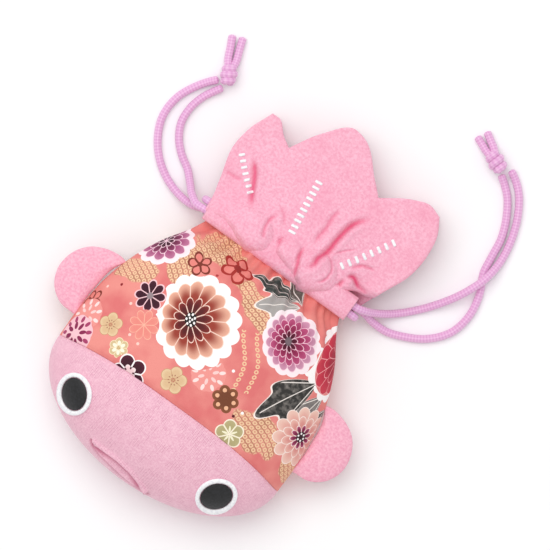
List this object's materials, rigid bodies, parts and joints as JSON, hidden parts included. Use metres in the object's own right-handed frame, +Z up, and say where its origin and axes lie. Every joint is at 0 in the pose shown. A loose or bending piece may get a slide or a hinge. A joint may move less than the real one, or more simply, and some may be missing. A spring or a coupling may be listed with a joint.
{
  "type": "kinchaku drawstring pouch",
  "caption": "Goldfish-shaped drawstring pouch with a flowered body, pink face panel, padded fins, lobed crepe tail and knotted cords",
  "frame": {"origin": "middle of the pouch's box without its cords, on the table it lies on", "axes": "+Y from the face towards the tail, +Z up out of the front, +X to the right seen from above with the tail at the top"},
  "size_m": [0.1425, 0.1897, 0.0375],
  "materials": {
    "face_cloth": "pink speckled crepe with a faint sparkle",
    "print_cloth": "coral cotton with a traditional flower print",
    "crepe": "pebbled pink crepe",
    "fin_cloth": "fine pink crepe",
    "lining_cloth": "plain smooth lining",
    "eye_black": "glossy black cloth",
    "white_thread": "satin-stitched thread",
    "cord_rayon": "braided rayon with a soft sheen"
  },
  "bodies": {
    "root": {"face_front": "face_cloth", "face_back": "face_cloth", "body_front": "print_cloth", "body_back": "print_cloth", "lining": "lining_cloth", "channel_front": "crepe", "channel_back": "crepe", "tail_front": "crepe", "tail_back": "crepe", "fin_left": "fin_cloth", "fin_right": "fin_cloth", "eye_patch_left": "eye_black", "eye_patch_right": "eye_black", "eye_edge_left": "white_thread", "eye_edge_right": "white_thread", "cord_left": "cord_rayon", "cord_right": "cord_rayon", "knot_left": "cord_rayon", "knot_right": "cord_rayon"}
  },
  "joints": []
}
